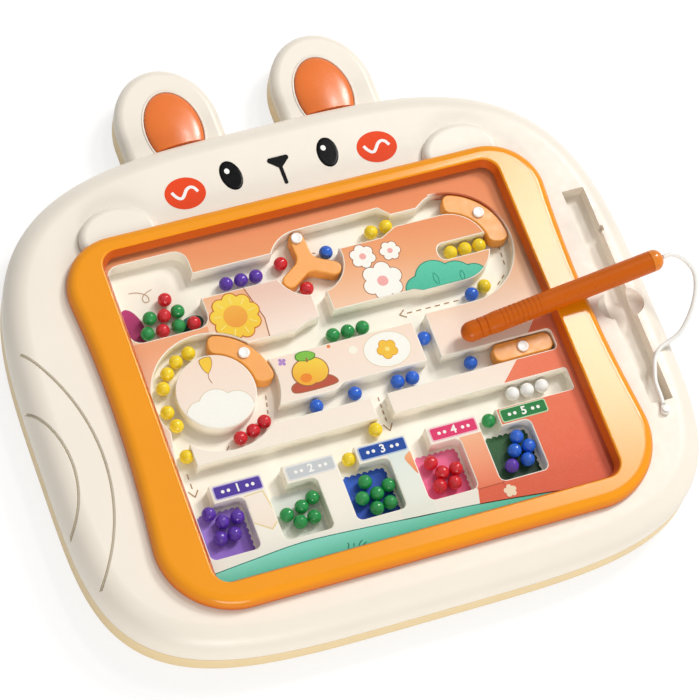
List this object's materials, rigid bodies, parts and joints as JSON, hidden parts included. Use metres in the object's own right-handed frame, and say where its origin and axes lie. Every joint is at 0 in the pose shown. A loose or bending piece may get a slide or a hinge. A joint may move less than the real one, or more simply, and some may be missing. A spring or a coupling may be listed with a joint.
{
  "type": "magnetic maze board",
  "caption": "Rabbit-shaped two-shell board with a framed, clear-covered bead maze, turning and sliding levers under the cover, and a magnetic pen on a short tether.",
  "frame": {"origin": "on the board's flat back, under the middle of the window; the back lies on the table at z = 0", "axes": "+Z out of the board towards the player, +Y towards the ears, +X to the right as the player sees it"},
  "size_m": [0.3297, 0.3096, 0.0534],
  "materials": {
    "back_shell": "satin",
    "front_shell": "satin",
    "ear_insert_left": "gloss",
    "ear_insert_right": "gloss",
    "screw_1": "zinc plated",
    "screw_2": "zinc plated",
    "screw_3": "zinc plated",
    "screw_4": "zinc plated",
    "screw_5": "zinc plated",
    "screw_6": "zinc plated",
    "bezel_frame": "gloss",
    "clear_cover": "clear sheet",
    "paw_left": "satin",
    "paw_right": "satin",
    "maze_board": "printed",
    "rotor": "satin",
    "rotor_stud": "gloss",
    "ring_gate": "satin",
    "ring_gate_stud": "gloss",
    "loop_gate": "satin",
    "loop_gate_stud": "gloss",
    "slider_gate": "satin",
    "slider_gate_stud": "gloss",
    "rotor_pivot": "turned",
    "arena_bead_1": "gloss",
    "arena_bead_2": "gloss",
    "arena_bead_3": "gloss",
    "ring_bead_1": "gloss",
    "ring_bead_2": "gloss",
    "ring_bead_3": "gloss",
    "ring_bead_4": "gloss",
    "ring_bead_5": "gloss",
    "ring_bead_6": "gloss",
    "purple_bead_1": "gloss",
    "purple_bead_2": "gloss",
    "purple_bead_3": "gloss",
    "green_bead_1": "gloss",
    "green_bead_2": "gloss",
    "green_bead_3": "gloss",
    "white_bead_1": "gloss",
    "white_bead_2": "gloss",
    "white_bead_3": "gloss",
    "pushed_bead": "gloss",
    "blue_bead_1": "gloss",
    "blue_bead_2": "gloss",
    "blue_bead_3": "gloss",
    "blue_bead_4": "gloss",
    "garage_beads": "gloss",
    "heap_beads": "gloss",
    "cup_beads_1": "gloss",
    "cup_beads_2": "gloss",
    "cup_beads_3": "gloss",
    "cup_beads_4": "gloss",
    "cup_beads_5": "gloss",
    "pen_body": "satin",
    "pen_tip_cap": "satin",
    "pen_magnet": "nickel",
    "pen_tail_cap": "gloss",
    "tether_cord": "clear, soft",
    "cord_anchor": "satin"
  },
  "bodies": {
    "casing": {"back_shell": "back_shell", "front_shell": "front_shell", "ear_insert_left": "ear_insert_left", "ear_insert_right": "ear_insert_right", "screw_1": "screw_1", "screw_2": "screw_2", "screw_3": "screw_3", "screw_4": "screw_4", "screw_5": "screw_5", "screw_6": "screw_6", "bezel_frame": "bezel_frame", "clear_cover": "clear_cover", "paw_left": "paw_left", "paw_right": "paw_right", "maze_board": "maze_board", "rotor_pivot": "rotor_pivot", "blue_bead_1": "blue_bead_1", "blue_bead_2": "blue_bead_2", "blue_bead_3": "blue_bead_3", "blue_bead_4": "blue_bead_4", "garage_beads": "garage_beads", "heap_beads": "heap_beads", "cup_beads_1": "cup_beads_1", "cup_beads_2": "cup_beads_2", "cup_beads_3": "cup_beads_3", "cup_beads_4": "cup_beads_4", "cup_beads_5": "cup_beads_5", "tether_cord": "tether_cord", "cord_anchor": "cord_anchor"},
    "rotor": {"rotor": "rotor", "rotor_stud": "rotor_stud", "arena_bead_1": "arena_bead_1", "arena_bead_2": "arena_bead_2", "arena_bead_3": "arena_bead_3"},
    "ring_gate": {"ring_gate": "ring_gate", "ring_gate_stud": "ring_gate_stud"},
    "ring_beads": {"ring_bead_1": "ring_bead_1", "ring_bead_2": "ring_bead_2", "ring_bead_3": "ring_bead_3", "ring_bead_4": "ring_bead_4", "ring_bead_5": "ring_bead_5", "ring_bead_6": "ring_bead_6"},
    "loop_gate": {"loop_gate": "loop_gate", "loop_gate_stud": "loop_gate_stud"},
    "slider_gate": {"slider_gate": "slider_gate", "slider_gate_stud": "slider_gate_stud"},
    "slider_bead": {"pushed_bead": "pushed_bead"},
    "purple_row": {"purple_bead_1": "purple_bead_1", "purple_bead_2": "purple_bead_2", "purple_bead_3": "purple_bead_3"},
    "green_row": {"green_bead_1": "green_bead_1", "green_bead_2": "green_bead_2", "green_bead_3": "green_bead_3"},
    "white_row": {"white_bead_1": "white_bead_1", "white_bead_2": "white_bead_2", "white_bead_3": "white_bead_3"},
    "pen": {"pen_body": "pen_body", "pen_tip_cap": "pen_tip_cap", "pen_magnet": "pen_magnet", "pen_tail_cap": "pen_tail_cap"}
  },
  "joints": [
    {"name": "rotor_spin", "type": "hinge", "parent": "casing", "child": "rotor", "pos_m": [-0.00449, 0.06096, 0.0209], "axis": [0, 0, 1], "continuous": true},
    {"name": "ring_gate_turn", "type": "hinge", "parent": "casing", "child": "ring_gate", "pos_m": [-0.06895, 0.00753, 0.0209], "axis": [0, 0, 1], "range_deg": [-35, 50]},
    {"name": "ring_beads_turn", "type": "hinge", "parent": "casing", "child": "ring_beads", "pos_m": [-0.06895, 0.00753, 0.0209], "axis": [0, 0, 1], "range_deg": [-35, 50]},
    {"name": "loop_gate_turn", "type": "hinge", "parent": "casing", "child": "loop_gate", "pos_m": [0.06681, 0.04953, 0.0209], "axis": [0, 0, 1], "range_deg": [-45, 4]},
    {"name": "slider_slide", "type": "slide", "parent": "casing", "child": "slider_gate", "axis": [1, 0, 0], "range_m": [-0.022, 0]},
    {"name": "slider_bead_roll", "type": "slide", "parent": "casing", "child": "slider_bead", "axis": [1, 0, 0], "range_m": [-0.022, 0]},
    {"name": "purple_row_roll", "type": "slide", "parent": "casing", "child": "purple_row", "axis": [1, 0, 0], "range_m": [-0.016, 0.004]},
    {"name": "green_row_roll", "type": "slide", "parent": "casing", "child": "green_row", "axis": [1, 0, 0], "range_m": [-0.025, 0.018]},
    {"name": "white_row_roll", "type": "slide", "parent": "casing", "child": "white_row", "axis": [1, 0, 0], "range_m": [-0.04, 0.008]},
    {"name": "pen_lift", "type": "slide", "parent": "casing", "child": "pen", "axis": [0, 0, 1], "range_m": [0, 0.03]}
  ],
  "couplings": [
    {"joint": "ring_beads_turn", "follows": "ring_gate_turn", "ratio": 1},
    {"joint": "slider_bead_roll", "follows": "slider_slide", "ratio": 1}
  ]
}
